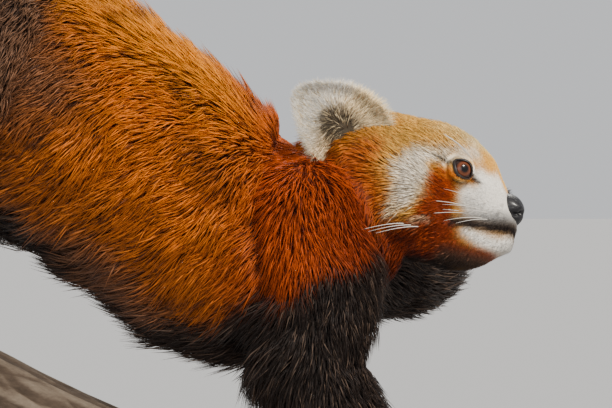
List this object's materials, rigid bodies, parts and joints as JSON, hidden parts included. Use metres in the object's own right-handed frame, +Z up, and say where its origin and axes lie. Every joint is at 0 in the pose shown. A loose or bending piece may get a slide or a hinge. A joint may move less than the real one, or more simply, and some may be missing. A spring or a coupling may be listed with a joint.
{
  "type": "red panda model",
  "caption": "Life-size red panda climbing head first down a slanting cut branch, one forepaw reaching out, on a plain display stand.",
  "frame": {"origin": "centre of the display base's underside", "axes": "+X the way the animal faces, along the branch's fall, +Y the animal's left, +Z up"},
  "size_m": [0.6951, 0.3238, 0.6107],
  "materials": {
    "rust_coat": "long dense orange to deep rust-red fur, darker at its roots",
    "face_coat": "short fur, cream on cheeks, brow and muzzle, rust elsewhere",
    "ear_coat": "cream fringe round a dark grey centre",
    "dark_coat": "long soft blackish brown fur",
    "tail_coat": "bushy fur in rings of rust and buff",
    "nose_leather": "moist pebbled black skin",
    "eye": "glossy dark amber-brown",
    "bark": "rough grey-brown bark with pale cut ends",
    "base_wood": "satin dark stained wood",
    "rod_steel": "fine brushed steel"
  },
  "bodies": {
    "root": {"head": "face_coat", "nose": "nose_leather", "eye_left": "eye", "eye_right": "eye", "ear_left": "ear_coat", "ear_right": "ear_coat", "neck": "rust_coat", "torso": "rust_coat", "foreleg_left": "dark_coat", "foreleg_right": "dark_coat", "hindleg_left": "dark_coat", "hindleg_right": "dark_coat", "forepaw_left": "dark_coat", "forepaw_right": "dark_coat", "hindpaw_left": "dark_coat", "hindpaw_right": "dark_coat", "tail_base": "tail_coat", "tail_middle": "tail_coat", "tail_tip": "tail_coat", "perch_branch": "bark", "stand_base": "base_wood", "stand_rod_front": "rod_steel", "stand_rod_back": "rod_steel"}
  },
  "joints": []
}
